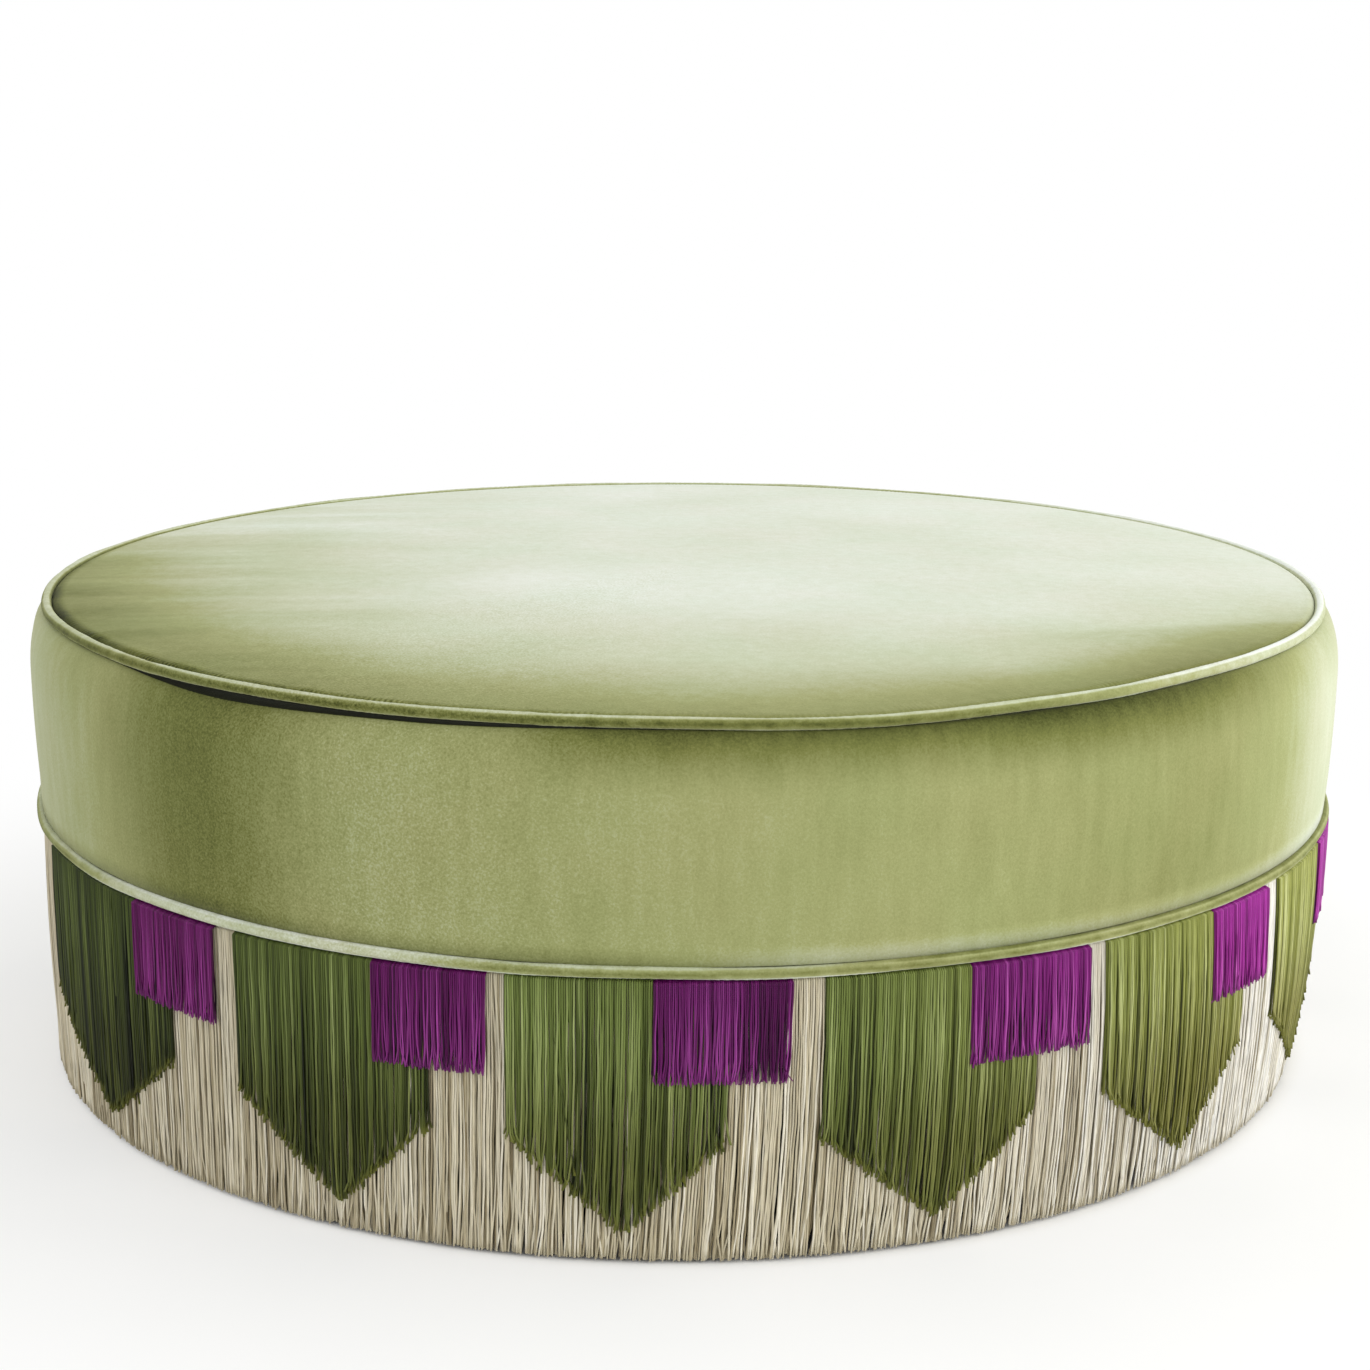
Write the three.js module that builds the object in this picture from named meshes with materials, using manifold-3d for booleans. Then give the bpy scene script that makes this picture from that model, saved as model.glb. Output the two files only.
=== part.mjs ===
// A large round tuffet: a velvet seat and padded band on a plywood drum, with two welts and a
// skirt of three layers of cut fringe. Millimetres, +Z up, standing on the floor at z = 0.
import * as THREE from "three";
import { mergeVertices } from "three/addons/utils/BufferGeometryUtils.js";
import Module from "manifold-3d";

const wasm = await Module();
wasm.setup();

// Driving dimensions: the whole seat
const seatHeight = 395; // floor to the crown of the seat
const seatRadius = 550; // the padded band at its fullest
const crownRise = 6.5; // the crown above the cover's edge
const weltBelowEdge = 3.5; // centre of the top welt below the cover's edge
const bandHeight = 169.5; // between the centre lines of the two welts
const bandFullDrop = 50; // the band's fullest line below the top welt
const bandRoll = 16.5; // the fullest line outside the top welt's centre line
const hemDraw = 4.6; // how far the band draws in at its foot
const seatFlatRadius = 150; // the middle of the crown, where a tray stands level

// Driving dimensions: cloth, welts and padding
const velvetThickness = 2.4;
const linerThickness = 1.5; // black cloth of the plinth and the dust cover
const weltRadius = 4.2;
const flangeThickness = 1.2; // the welts' sewing flange
const topFlangeReach = 10; // how far the top seam's edges run in past the welt's cord
const hemFlangeRise = 12.5; // how far the hem welt's flange runs up behind the band
const edgeRoll = 3.5; // the rounded edge of the top cover
const seatFoamThickness = 80;
const plinthHem = 16; // the plinth cloth's turn-in under the base ring

// Driving dimensions: the plywood drum
const plyThickness = 18;
const skinThickness = 5; // bent plywood skins
const ringOverhang = 16; // the middle ring's edge outside the skins
const ringMargin = 2.5; // the middle ring's top above the fringe headings
const middleRingWidth = 50;
const middleRingEase = 4; // chamfer on its lower outer edge, clear of the fringe
const baseRingWidth = 80;
const postSize = 40;
const bearerHeight = 50;
const airHoleRadius = 25;
const airHoleCircle = 260;

// Driving dimensions: glides
const glideRadius = 15;
const glideFootRadius = 11;
const glideChamfer = 3;
const glideHeight = 12;
const nailRadius = 2;
const nailCover = 6; // wood left above a glide's nail

// Driving dimensions: fringe
const headingThickness = 1; // woven tape that carries the strands
const headingHeight = 8;
const strandThickness = 2.5; // a strand's depth at the floor
const skirtBelly = 5.5; // how far the cream layer hangs out from its heading
const layerBelly = 2.7; // how far each further layer hangs out from the one behind
const skirtLean = 10.5; // how far the skirt leans in again by the floor
const skirtSwing = 7; // how far its foot swings to the left
const fringeFloorGap = 2;
const greenPointGap = 24.5; // a green panel's point above the floor
const greenPointDepth = 69; // the point below the panel's straight sides
const purpleDrop = 73.5; // below the heading

// Driving dimensions: the panels' places and widths about Z, in degrees from the front towards the
// right. One wide panel covers the join of the trimmings.
const firstPanelDegrees = -35.6; // left edge of the first regular green panel
const joinPanelDegrees = -65.8; // left edge of the wide one
const panelPitchDegrees = 22.9; // of the regular panels in front
const joinGapDegrees = 23.6; // bare heading before the wide panel
const greenPanelDegrees = 16.6; // panel widths
const joinGreenDegrees = 22.8;
const purplePanelDegrees = 9.3;
const joinPurpleDegrees = 10;
const purpleOffsetDegrees = 11.6; // purple panel's left edge from the green one's
const joinPurpleOffsetDegrees = 18.3;

// Clearances
const seam = 0.3; // between pieces that touch
const layerGap = 0.5; // between the layers of the fringe
const overrun = 1; // how far a cutter passes the faces it cuts

// Shares and counts
const facets = 56;
const weltFacets = 8;
const glideFacets = 10;
const holeFacets = 8;
const postCount = 8;
const airHoleCount = 4;
const weldShare = 0.01; // of the seam, within which corners are merged
const crownSharePower = 2.5; // how late the crown falls away
const crownShares = [0.42, 0.76, 1];
const edgeRollShare = 0.25;
const bandFootShares = [0, 0.45];
const bandRollShares = [0, 0.32, 0.6, 0.84];
const fringeLayers = 3;
const frontPanels = 5;
const backPanels = 9;
const circleDegrees = 360;
const strandEndShare = 0.8; // a strand's width at its cut end
const greenPointShare = 0.56; // where across its width a green panel comes to its point
const creamStrands = 150; // all round
const greenStrands = 9; // in one panel
const joinGreenStrands = 12;
const purpleStrands = 6;

// The front panels are trimmed by hand, each a little off the even width and place. A purple
// panel's place is off by a share of the pitch.
const greenWidthShares = [1.03, 0.97, 1, 1, 1];
const purpleWidthShares = [0.96, 1.05, 1.09, 0.9, 1];
const purplePlaceShares = [0.05, -0.04, -0.025, 0.015, 0.005];

// Colours
const velvetGreen = 0xa6ab74;
const weltGreen = 0xb0b47e;
const creamYarn = 0xc6bb9a;
const greenYarn = 0x56642a;
const purpleYarn = 0x6f2668;
const blackCloth = 0x17171a;
const foamYellow = 0xe4d7a6;
const waddingWhite = 0xf0efe9;
const plyWood = 0xc9a877;
const pineWood = 0xd9bd8b;
const blackPlastic = 0x1c1c1e;

// Heights, from the crown down to the deck
const seatEdgeHeight = seatHeight - crownRise;
const topWeltHeight = seatEdgeHeight - weltBelowEdge;
const topFlangeBottom = topWeltHeight - weltRadius;
const topFlangeTop = topFlangeBottom + flangeThickness;
const bandTop = topFlangeBottom - seam;
const bandFullHeight = topWeltHeight - bandFullDrop;
const padTop = bandTop - velvetThickness - seam;
const deckTop = padTop - seatFoamThickness;
const deckBottom = deckTop - plyThickness;

// Heights at the hem, where the fringe headings lie on the middle ring's edge
const hemWeltHeight = topWeltHeight - bandHeight;
const bandFoot = hemWeltHeight + weltRadius + seam;
const hemFlangeTop = hemWeltHeight + hemFlangeRise;
const headingTop = hemWeltHeight + headingHeight / 2;
const headingBottom = headingTop - headingHeight;
const middleRingTop = headingTop + ringMargin;
const middleRingBottom = middleRingTop - plyThickness;
const creamDrop = headingBottom - fringeFloorGap;
const greenPointDrop = headingBottom - greenPointGap;

// Heights, from the floor up to the base ring
const linerBottom = glideHeight + seam;
const baseRingBottom = linerBottom + linerThickness + seam;
const baseRingTop = baseRingBottom + plyThickness;
const nailTop = baseRingTop - nailCover;

// Radii, from the band inwards
const topWeltRadius = seatRadius - bandRoll;
const coverEdge = topWeltRadius - weltRadius - seam;
const seamInner = topWeltRadius - weltRadius - topFlangeReach;
const crownReach = coverEdge - edgeRoll - seatFlatRadius;
const bandFootRadius = seatRadius - hemDraw;
const hemFlangeOuter = bandFootRadius - velvetThickness - seam;
const hemWeltInner = hemFlangeOuter - flangeThickness;
const hemWeltRadius = hemWeltInner + weltRadius;
const middleRingRadius = flatsRadius(hemWeltInner) - seam - fringeLayers * (headingThickness + layerGap);
const middleRingInner = middleRingRadius - middleRingWidth;
const skinRadius = middleRingRadius - ringOverhang;
const innerSkinRadius = skinRadius - skinThickness;
const discRadius = innerSkinRadius - seam;
const baseRingInner = discRadius - baseRingWidth;
const glideCircle = discRadius - baseRingWidth / 2;
const outerPostFace = postFace(innerSkinRadius);
const innerPostFace = outerPostFace - postSize;

// How far from the axis the flats of a faceted ring lie
function flatsRadius(cornerRadius) {
  return cornerRadius * Math.cos(Math.PI / facets);
}

// How far out the face of a square post may stand so that its corners clear a faceted ring
function postFace(ringInner) {
  return Math.sqrt(flatsRadius(ringInner) ** 2 - (postSize / 2) ** 2) - seam;
}

// How far down the skirt a height is, from 0 at the headings to 1 at the cream strands' ends
function downShare(height) {
  return (headingBottom - height) / creamDrop;
}

// Inner faces of a fringe layer: 0 is the cream layer, 1 the green, 2 the purple. The strands hang
// out past the hem welt's flange, and lean in again towards the floor.
function headingInner(layer) {
  return middleRingRadius + layerGap + layer * (headingThickness + layerGap);
}

function strandInner(layer, height) {
  const belly = skirtBelly + layer * layerBelly;
  return headingInner(0) + belly - skirtLean * downShare(height) ** 2;
}

// The strands thicken evenly from the heading to the floor
function strandOuter(layer, height) {
  const thickening = (strandThickness - headingThickness) * downShare(height);
  return strandInner(layer, height) + headingThickness + thickening;
}

// A profile turned round the Z axis, its points as [radius, height]. It starts and ends on the
// axis, or is closed on itself here.
function turned(profile, sides = facets) {
  const points = profile.map(([radius, height]) => new THREE.Vector2(radius, height));
  if (profile[0][0] !== 0) points.push(points[0].clone());
  if (THREE.ShapeUtils.isClockWise(points)) points.reverse();
  const geometry = new THREE.LatheGeometry(points, sides);
  geometry.rotateX(Math.PI / 2);
  return welded(geometry);
}

// The geometry with only its positions, shared corners merged and empty triangles left out
function welded(geometry) {
  const bare = new THREE.BufferGeometry();
  bare.setAttribute("position", geometry.getAttribute("position"));
  bare.setIndex(geometry.getIndex());
  const merged = mergeVertices(bare, seam * weldShare);
  const index = merged.getIndex().array;
  const kept = [];
  for (let i = 0; i < index.length; i += 3) {
    const [a, b, c] = index.slice(i, i + 3);
    if (a !== b && b !== c && c !== a) kept.push(a, b, c);
  }
  merged.setIndex(kept);
  return merged;
}

// To and from a solid that can be cut
function solidOf(geometry) {
  const merged = welded(geometry);
  return new wasm.Manifold(new wasm.Mesh({
    numProp: 3,
    vertProperties: new Float32Array(merged.getAttribute("position").array),
    triVerts: new Uint32Array(merged.getIndex().array),
  }));
}

function geometryOf(solid) {
  const mesh = solid.getMesh();
  const geometry = new THREE.BufferGeometry();
  geometry.setAttribute("position", new THREE.BufferAttribute(mesh.vertProperties, 3));
  geometry.setIndex(new THREE.BufferAttribute(mesh.triVerts, 1));
  return geometry;
}

function cut(geometry, cutters) {
  let solid = solidOf(geometry);
  for (const cutter of cutters) solid = solid.subtract(solidOf(cutter));
  return geometryOf(solid);
}

// A block between two heights, from one radius to another, turned to an angle about Z
function radialBlock(inner, outer, width, bottom, top, angle) {
  const block = new THREE.BoxGeometry(outer - inner, width, top - bottom);
  block.translate((inner + outer) / 2, 0, (bottom + top) / 2);
  block.rotateZ(angle);
  return block;
}

// An upright round hole's cutter, on a circle about Z
function holeCutter(radius, bottom, top, circle, angle) {
  const hole = new THREE.CylinderGeometry(radius, radius, top - bottom, holeFacets);
  hole.rotateX(Math.PI / 2);
  hole.translate(circle, 0, (bottom + top) / 2);
  hole.rotateZ(angle);
  return hole;
}

// A welt's round outline from a starting angle, followed by the corners of its flange
function weltOutline(centreRadius, centreHeight, startAngle, flange) {
  const round = Array.from({ length: weltFacets }, (_, i) => {
    const angle = startAngle + (i * 2 * Math.PI) / weltFacets;
    return [centreRadius + weltRadius * Math.cos(angle), centreHeight + weltRadius * Math.sin(angle)];
  });
  return [...round, ...flange];
}

// Top welt: its flange runs in from the foot of the cord, between the two velvets
function topWelt() {
  return turned(weltOutline(topWeltRadius, topWeltHeight, -Math.PI / 2, [
    [seamInner, topFlangeTop],
    [seamInner, topFlangeBottom],
  ]));
}

// Hem welt: its flange runs up behind the velvet band
function hemWelt() {
  return turned(weltOutline(hemWeltRadius, hemWeltHeight, Math.PI, [
    [hemFlangeOuter, hemFlangeTop],
    [hemWeltInner, hemFlangeTop],
  ]));
}

// The band's outline from its foot to the top seam, inset from its outer face
function bandOutline(inset) {
  const foot = bandFootShares.map((share) => [
    seatRadius - inset - hemDraw * (1 - share) ** 2,
    bandFoot + share * (bandFullHeight - bandFoot),
  ]);
  const rollRadius = bandRoll - inset;
  const rollHeight = bandTop - bandFullHeight - inset;
  const roll = bandRollShares.map((share) => [
    topWeltRadius + rollRadius * Math.cos(share * Math.PI / 2),
    bandFullHeight + rollHeight * Math.sin(share * Math.PI / 2),
  ]);
  return [...foot, ...roll, [topWeltRadius, bandFullHeight + rollHeight]];
}

// Velvet band: swells from the hem welt, rolls in under the top welt and turns in at the seam
function sideCover() {
  const outer = bandOutline(0);
  const inner = bandOutline(velvetThickness).reverse();
  return turned([
    ...outer,
    [seamInner, bandTop],
    [seamInner, bandTop - velvetThickness],
    ...inner,
  ]);
}

// Side foam: glued round the upper skin and the edge of the seat foam, rebated for the flange
function sideFoam() {
  const inset = velvetThickness + seam;
  const rebateTop = hemFlangeTop + seam;
  const rebateRadius = hemWeltInner - seam;
  const inner = skinRadius + seam;
  const foot = middleRingTop + seam;
  const outline = bandOutline(inset).filter(([, height]) => height > rebateTop);
  const rebateEdge = bandFootRadius - inset;
  return turned([
    [inner, foot],
    [rebateRadius, foot],
    [rebateRadius, rebateTop],
    [rebateEdge, rebateTop],
    ...outline,
    [inner, padTop],
  ]);
}

// Height of the seat's upper face, from 0 at the flat middle to 1 at the edge
function crownHeight(share) {
  return seatHeight - crownRise * share ** crownSharePower;
}

// Top cover: flat at the middle, falling to a doubled edge that is sewn against the welt
function topCover() {
  const outer = crownShares.map((share) => [seatFlatRadius + share * crownReach, crownHeight(share)]);
  const inner = crownShares.slice(0, -1).map((share) => [
    seatFlatRadius + share * crownReach,
    crownHeight(share) - velvetThickness,
  ]).reverse();
  const hemBottom = topFlangeTop + seam;
  return turned([
    [0, seatHeight],
    [seatFlatRadius, seatHeight],
    ...outer,
    [coverEdge - edgeRoll * edgeRollShare, seatEdgeHeight - edgeRoll * edgeRollShare],
    [coverEdge, seatEdgeHeight - edgeRoll],
    [coverEdge, hemBottom],
    [seamInner, hemBottom],
    [seamInner, seatEdgeHeight - velvetThickness],
    ...inner,
    [seatFlatRadius, seatHeight - velvetThickness],
    [0, seatHeight - velvetThickness],
  ]);
}

// Wadding: fills the crown between the foam and the velvet
function topWadding() {
  const edge = seamInner - seam;
  const under = velvetThickness + seam;
  const outer = crownShares.slice(0, -1).map((share) => [
    seatFlatRadius + share * crownReach,
    crownHeight(share) - under,
  ]);
  return turned([
    [0, seatHeight - under],
    [seatFlatRadius, seatHeight - under],
    ...outer,
    [edge, seatEdgeHeight - under],
    [edge, padTop + seam],
    [0, padTop + seam],
  ]);
}

// A plain disc or ring of sheet material
function disc(radius, bottom, top) {
  return turned([[0, top], [radius, top], [radius, bottom], [0, bottom]]);
}

function ring(inner, outer, bottom, top) {
  return turned([[inner, bottom], [outer, bottom], [outer, top], [inner, top]]);
}

function postAngle(i) {
  return (i * 2 * Math.PI) / postCount;
}

function everyPost(make) {
  return Array.from({ length: postCount }, (_, i) => make(postAngle(i)));
}

// Seat deck: lets air out of the foam through holes between the bearers
function seatDeck() {
  const holes = Array.from({ length: airHoleCount }, (_, i) => holeCutter(
    airHoleRadius,
    deckBottom - overrun,
    deckTop + overrun,
    airHoleCircle,
    ((i + 0.5) * 2 * Math.PI) / airHoleCount,
  ));
  return cut(disc(discRadius, deckBottom, deckTop), holes);
}

// Middle ring: carries the band and the fringe, notched from inside for the posts
function middleRing() {
  const eased = turned([
    [middleRingInner, middleRingBottom],
    [middleRingRadius - middleRingEase, middleRingBottom],
    [middleRingRadius, middleRingBottom + middleRingEase],
    [middleRingRadius, middleRingTop],
    [middleRingInner, middleRingTop],
  ]);
  const notches = everyPost((angle) => radialBlock(
    innerPostFace - overrun,
    outerPostFace + seam,
    postSize + 2 * seam,
    middleRingBottom - overrun,
    middleRingTop + overrun,
    angle,
  ));
  return cut(eased, notches);
}

// Base ring: stands on the glides, whose nails go up into it
function baseRing() {
  const nailHoles = everyPost((angle) => holeCutter(
    nailRadius + 2 * seam,
    baseRingBottom - overrun,
    nailTop + seam,
    glideCircle,
    angle,
  ));
  return cut(ring(baseRingInner, discRadius, baseRingBottom, baseRingTop), nailHoles);
}

// Bearers: two rails half-lapped at the middle, on four of the posts
const bearerTop = deckBottom - seam;
const bearerBottom = bearerTop - bearerHeight;

function bearer(angle, lapBottom, lapTop) {
  const rail = radialBlock(-outerPostFace, outerPostFace, postSize, bearerBottom, bearerTop, angle);
  const lap = radialBlock(
    -postSize / 2 - seam,
    postSize / 2 + seam,
    postSize + 2 * overrun,
    lapBottom,
    lapTop,
    angle,
  );
  return cut(rail, [lap]);
}

function post(angle, bearerAbove) {
  const top = (bearerAbove ? bearerBottom : deckBottom) - seam;
  return radialBlock(innerPostFace, outerPostFace, postSize, baseRingTop + seam, top, angle);
}

// Plinth cloth: wraps the lower skin and turns in under the base ring
function plinthCover() {
  const inner = skinRadius + seam;
  const outer = inner + linerThickness;
  const hemTop = baseRingBottom - seam;
  return turned([
    [inner, middleRingBottom - seam],
    [outer, middleRingBottom - seam],
    [outer, linerBottom],
    [outer - plinthHem, linerBottom],
    [outer - plinthHem, hemTop],
    [inner, hemTop],
  ]);
}

// Dust cover: closes the drum from below, inside the plinth cloth's hem
function dustCover() {
  const radius = skinRadius + linerThickness - plinthHem;
  const top = linerBottom + linerThickness;
  const holes = everyPost((angle) => holeCutter(
    nailRadius + 2 * seam,
    linerBottom - overrun,
    top + overrun,
    glideCircle,
    angle,
  ));
  return cut(disc(radius, linerBottom, top), holes);
}

// Glide: a domed foot and its nail in one piece
function glide(angle) {
  const geometry = turned([
    [0, nailTop],
    [nailRadius, nailTop],
    [nailRadius, glideHeight],
    [glideRadius, glideHeight],
    [glideRadius, glideChamfer],
    [glideFootRadius, 0],
    [0, 0],
  ], glideFacets);
  geometry.translate(glideCircle, 0, 0);
  geometry.rotateZ(angle);
  return geometry;
}

// A fringe layer: a woven heading all round, and strands that hang from it. Each cell spans an
// angle; a cell with a drop bears a strand of three sides, with its ridge outwards.
function fringe(layer, cells) {
  const positions = [];
  const index = [];
  const put = (radius, angle, height) => {
    const swing = skirtSwing * Math.max(downShare(height), 0);
    positions.push(radius * Math.sin(angle) - swing, -radius * Math.cos(angle), height);
    return positions.length / 3 - 1;
  };
  const inner = headingInner(layer);
  const outer = inner + headingThickness;
  const rims = cells.map(({ from }) => ({
    outerTop: put(outer, from, headingTop),
    innerTop: put(inner, from, headingTop),
    outerFoot: put(outer, from, headingBottom),
    innerFoot: put(inner, from, headingBottom),
  }));
  cells.forEach((cell, i) => {
    const left = rims[i];
    const right = rims[(i + 1) % rims.length];
    index.push(left.outerTop, right.outerTop, right.innerTop);
    index.push(left.outerTop, right.innerTop, left.innerTop);
    index.push(right.innerFoot, left.innerFoot, left.innerTop);
    index.push(right.innerFoot, left.innerTop, right.innerTop);
    if (cell.drop) addStrand(index, put, layer, cell, left, right);
    else addPlainCell(index, left, right);
  });
  const geometry = new THREE.BufferGeometry();
  geometry.setAttribute("position", new THREE.Float32BufferAttribute(positions, 3));
  geometry.setIndex(index);
  return geometry;
}

function addPlainCell(index, left, right) {
  index.push(left.outerFoot, right.outerFoot, right.outerTop);
  index.push(left.outerFoot, right.outerTop, left.outerTop);
  index.push(left.outerFoot, left.innerFoot, right.innerFoot);
  index.push(left.outerFoot, right.innerFoot, right.outerFoot);
}

function addStrand(index, put, layer, cell, left, right) {
  const middle = (cell.from + cell.to) / 2;
  const half = ((cell.to - cell.from) / 2) * strandEndShare;
  const end = (angle, radiusAt) => {
    const height = headingBottom - cell.drop(angle);
    return put(radiusAt(layer, height), angle, height);
  };
  const ridge = put(headingInner(layer) + headingThickness, middle, headingBottom);
  const endLeft = end(middle - half, strandInner);
  const endRight = end(middle + half, strandInner);
  const endRidge = end(middle, strandOuter);
  index.push(left.outerFoot, ridge, left.outerTop);
  index.push(ridge, right.outerFoot, right.outerTop);
  index.push(ridge, right.outerTop, left.outerTop);
  index.push(left.outerFoot, left.innerFoot, ridge);
  index.push(ridge, right.innerFoot, right.outerFoot);
  index.push(endLeft, endRidge, ridge);
  index.push(endLeft, ridge, left.innerFoot);
  index.push(endRidge, endRight, right.innerFoot);
  index.push(endRidge, right.innerFoot, ridge);
  index.push(endRight, endLeft, left.innerFoot);
  index.push(endRight, left.innerFoot, right.innerFoot);
  index.push(endLeft, endRight, endRidge);
}

// The left edges of the regular panels, in degrees. Those at the back share the turn that is left
// up to the bare heading at the join.
const lastFrontDegrees = firstPanelDegrees + (frontPanels - 1) * panelPitchDegrees;
const lastBackDegrees = circleDegrees + joinPanelDegrees - joinGapDegrees - greenPanelDegrees;
const backPitch = (lastBackDegrees - lastFrontDegrees) / backPanels;
const regularDegrees = Array.from({ length: frontPanels + backPanels }, (_, i) => {
  const inFront = Math.min(i, frontPanels - 1);
  return firstPanelDegrees + inFront * panelPitchDegrees + (i - inFront) * backPitch;
});

// One panel, with its start and width in radians
function panel(startDegrees, widthDegrees, strands) {
  return {
    start: THREE.MathUtils.degToRad(startDegrees),
    width: THREE.MathUtils.degToRad(widthDegrees),
    strands,
  };
}

// The cells of one panel layer: the strands of each panel, and bare heading up to the next
function panelCells(panels, dropIn) {
  const cells = [];
  panels.forEach(({ start, width, strands }, i) => {
    const next = i + 1 < panels.length ? panels[i + 1].start : panels[0].start + 2 * Math.PI;
    const bare = next - start - width;
    const bareCells = Math.ceil(bare / (2 * width / strands));
    addCells(cells, start, width, strands, dropIn(start, width));
    addCells(cells, start + width, bare, bareCells, null);
  });
  return cells;
}

function addCells(cells, start, width, count, drop) {
  for (let i = 0; i < count; i += 1) {
    cells.push({
      from: start + (i * width) / count,
      to: start + ((i + 1) * width) / count,
      drop,
    });
  }
}

function creamFringe() {
  const cells = [];
  addCells(cells, 0, 2 * Math.PI, creamStrands, () => creamDrop);
  return fringe(0, cells);
}

// Green panels: straight sides, cut to a point
function greenFringe() {
  const pointed = (start, width) => (angle) => {
    const across = (angle - start) / width;
    const side = across < greenPointShare ? greenPointShare : 1 - greenPointShare;
    return greenPointDrop - greenPointDepth * (Math.abs(across - greenPointShare) / side);
  };
  const panels = [
    panel(joinPanelDegrees, joinGreenDegrees, joinGreenStrands),
    ...regularDegrees.map((place, i) => {
      const width = greenPanelDegrees * (greenWidthShares[i] ?? 1);
      return panel(place, width, greenStrands);
    }),
  ];
  return fringe(1, panelCells(panels, pointed));
}

// Purple panels: short, cut straight, over the right-hand part of the green ones
function purpleFringe() {
  const straight = () => () => purpleDrop;
  const panels = [
    panel(joinPanelDegrees + joinPurpleOffsetDegrees, joinPurpleDegrees, purpleStrands),
    ...regularDegrees.map((place, i) => {
      const offPlace = panelPitchDegrees * (purplePlaceShares[i] ?? 0);
      const width = purplePanelDegrees * (purpleWidthShares[i] ?? 1);
      return panel(place + purpleOffsetDegrees + offPlace, width, purpleStrands);
    }),
  ];
  return fringe(2, panelCells(panels, straight));
}

// The assembly
const tuffet = new THREE.Group();

function add(name, geometry, color, roughness, metalness = 0) {
  const material = new THREE.MeshStandardMaterial({ color, roughness, metalness });
  const mesh = new THREE.Mesh(geometry, material);
  mesh.name = name;
  tuffet.add(mesh);
}

const velvetRough = 0.85;
const yarnRough = 0.75;
const clothRough = 0.95;
const woodRough = 0.7;
const plasticRough = 0.45;

add("top_cover", topCover(), velvetGreen, velvetRough);
add("top_piping", topWelt(), weltGreen, velvetRough);
add("side_cover", sideCover(), velvetGreen, velvetRough);
add("lower_piping", hemWelt(), weltGreen, velvetRough);
add("top_wadding", topWadding(), waddingWhite, clothRough);
add("seat_foam", disc(skinRadius, deckTop + seam, padTop), foamYellow, clothRough);
add("side_foam", sideFoam(), foamYellow, clothRough);
add("cream_fringe", creamFringe(), creamYarn, yarnRough);
add("green_fringe", greenFringe(), greenYarn, yarnRough);
add("purple_fringe", purpleFringe(), purpleYarn, yarnRough);

add("seat_deck", seatDeck(), plyWood, woodRough);
add("middle_ring", middleRing(), plyWood, woodRough);
add("base_ring", baseRing(), plyWood, woodRough);
add("side_board", ring(innerSkinRadius, skinRadius, middleRingTop + seam, deckTop), plyWood, woodRough);
add(
  "plinth_board",
  ring(innerSkinRadius, skinRadius, baseRingBottom, middleRingBottom - seam),
  plyWood,
  woodRough,
);
const lapHeight = (bearerTop + bearerBottom) / 2;
add("bearer_1", bearer(0, lapHeight - seam / 2, bearerTop + overrun), pineWood, woodRough);
add("bearer_2", bearer(Math.PI / 2, bearerBottom - overrun, lapHeight + seam / 2), pineWood, woodRough);
everyPost((angle) => angle).forEach((angle, i) => {
  const bearerAbove = i % (postCount / 4) === 0;
  add(`post_${i + 1}`, post(angle, bearerAbove), pineWood, woodRough);
});
add("plinth_cover", plinthCover(), blackCloth, clothRough);
add("dust_cover", dustCover(), blackCloth, clothRough);
everyPost(glide).forEach((geometry, i) => {
  add(`glide_${i + 1}`, geometry, blackPlastic, plasticRough);
});

export default tuffet;
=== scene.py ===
# A large round tuffet: a velvet seat and padded band on a plywood drum, two welts, and a skirt of
# cream, green and purple cut fringe. Metres, +Z up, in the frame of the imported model.
import math

import bpy
import numpy as np
from mathutils import Matrix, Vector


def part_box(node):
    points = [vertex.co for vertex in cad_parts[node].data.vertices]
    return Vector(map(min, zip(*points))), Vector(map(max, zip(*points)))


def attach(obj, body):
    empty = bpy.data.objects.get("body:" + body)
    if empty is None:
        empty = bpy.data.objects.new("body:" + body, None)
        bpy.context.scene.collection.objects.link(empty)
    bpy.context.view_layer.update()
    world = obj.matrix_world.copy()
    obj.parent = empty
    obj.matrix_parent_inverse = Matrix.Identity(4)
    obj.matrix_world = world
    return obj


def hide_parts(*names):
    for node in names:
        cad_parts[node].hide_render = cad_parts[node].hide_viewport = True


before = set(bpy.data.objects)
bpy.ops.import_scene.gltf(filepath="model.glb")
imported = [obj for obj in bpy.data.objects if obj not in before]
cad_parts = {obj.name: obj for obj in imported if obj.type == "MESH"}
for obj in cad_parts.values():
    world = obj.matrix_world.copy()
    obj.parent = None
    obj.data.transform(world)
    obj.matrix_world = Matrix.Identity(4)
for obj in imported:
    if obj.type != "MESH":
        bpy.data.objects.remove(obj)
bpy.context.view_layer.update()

MM = 0.001


# The photograph's camera: low in front of the seat, looking slightly down on it with a long lens,
# so that the top shows as a flat ellipse and the band and the skirt almost straight on.
camera_at = (0.0, -2.160, 0.7806)
camera_down = math.radians(12.82)
camera_right = math.radians(0.04)
camera_roll = math.radians(0.22)

lens = bpy.data.cameras.new("camera")
lens.lens = 66.87
lens.sensor_fit = "HORIZONTAL"
lens.sensor_width = 36.0
lens.clip_end = 200.0
camera = bpy.data.objects.new("camera", lens)
camera.matrix_world = (
    Matrix.Translation(camera_at)
    @ Matrix.Rotation(-camera_right, 4, "Z")
    @ Matrix.Rotation(math.pi / 2 - camera_down, 4, "X")
    @ Matrix.Rotation(camera_roll, 4, "Z")
)
bpy.context.scene.collection.objects.link(camera)
bpy.context.scene.camera = camera
bpy.context.scene.view_settings.view_transform = "Standard"


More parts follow.
